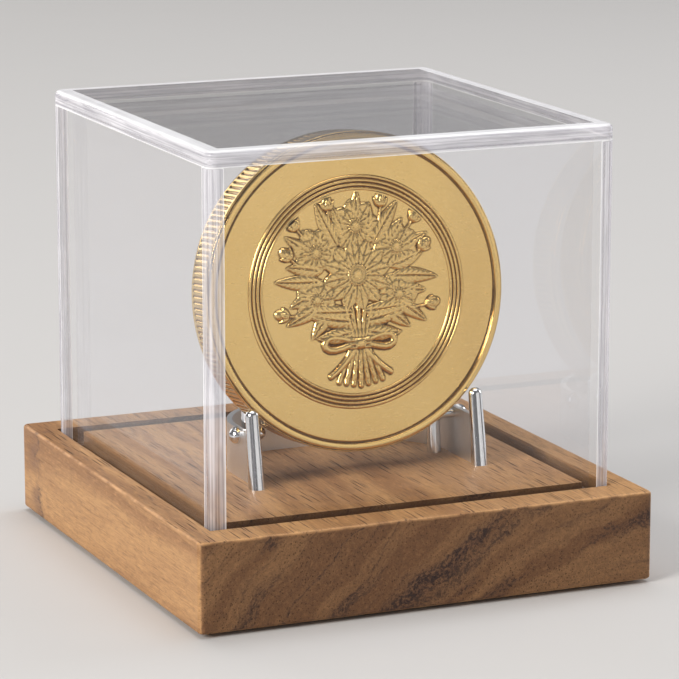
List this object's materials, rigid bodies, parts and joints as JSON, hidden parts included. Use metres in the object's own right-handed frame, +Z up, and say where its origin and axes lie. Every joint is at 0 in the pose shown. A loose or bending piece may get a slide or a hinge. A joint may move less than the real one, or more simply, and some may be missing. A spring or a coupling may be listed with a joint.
{
  "type": "coin display frame",
  "caption": "Wood base with a routed groove, a clear lift-off cover standing in it, and a polished cradle that holds one thick medal leaning back.",
  "frame": {"origin": "middle of the footprint, on the surface the pads stand on", "axes": "+X to the right along the front face, +Y from front to back, +Z up"},
  "size_m": [0.12, 0.129, 0.1139],
  "materials": {
    "walnut": "oiled open-grain wood",
    "pad_felt": "dark matt pad",
    "clear_sheet": "clear polished acrylic sheet",
    "polished_chrome": "mirror polish",
    "plain_steel": "turned steel",
    "gold_plate": "satin gold plate with a polished rim"
  },
  "bodies": {
    "root": {"base_block": "walnut", "foot_pad_front_left": "pad_felt", "foot_pad_front_right": "pad_felt", "foot_pad_back_left": "pad_felt", "foot_pad_back_right": "pad_felt", "front_prong_left": "polished_chrome", "front_prong_right": "polished_chrome", "rear_post_left": "polished_chrome", "rear_post_right": "polished_chrome", "rear_crossbar": "polished_chrome", "cradle_band": "polished_chrome", "rest_pin_left": "polished_chrome", "rest_pin_right": "polished_chrome", "cradle_screws": "plain_steel", "screw_washers": "plain_steel"},
    "cover": {"cover_top_panel": "clear_sheet", "cover_front_panel": "clear_sheet", "cover_back_panel": "clear_sheet", "cover_left_panel": "clear_sheet", "cover_right_panel": "clear_sheet"},
    "medal": {"coin": "gold_plate"}
  },
  "joints": [
    {"name": "cover_lift", "type": "slide", "parent": "root", "child": "cover", "axis": [0, 0, 1], "range_m": [0, 0.095]},
    {"name": "coin_turn", "type": "hinge", "parent": "root", "child": "medal", "pos_m": [0.002, -0.00974, 0.06844], "axis": [0, -0.994, 0.1097], "continuous": true}
  ]
}
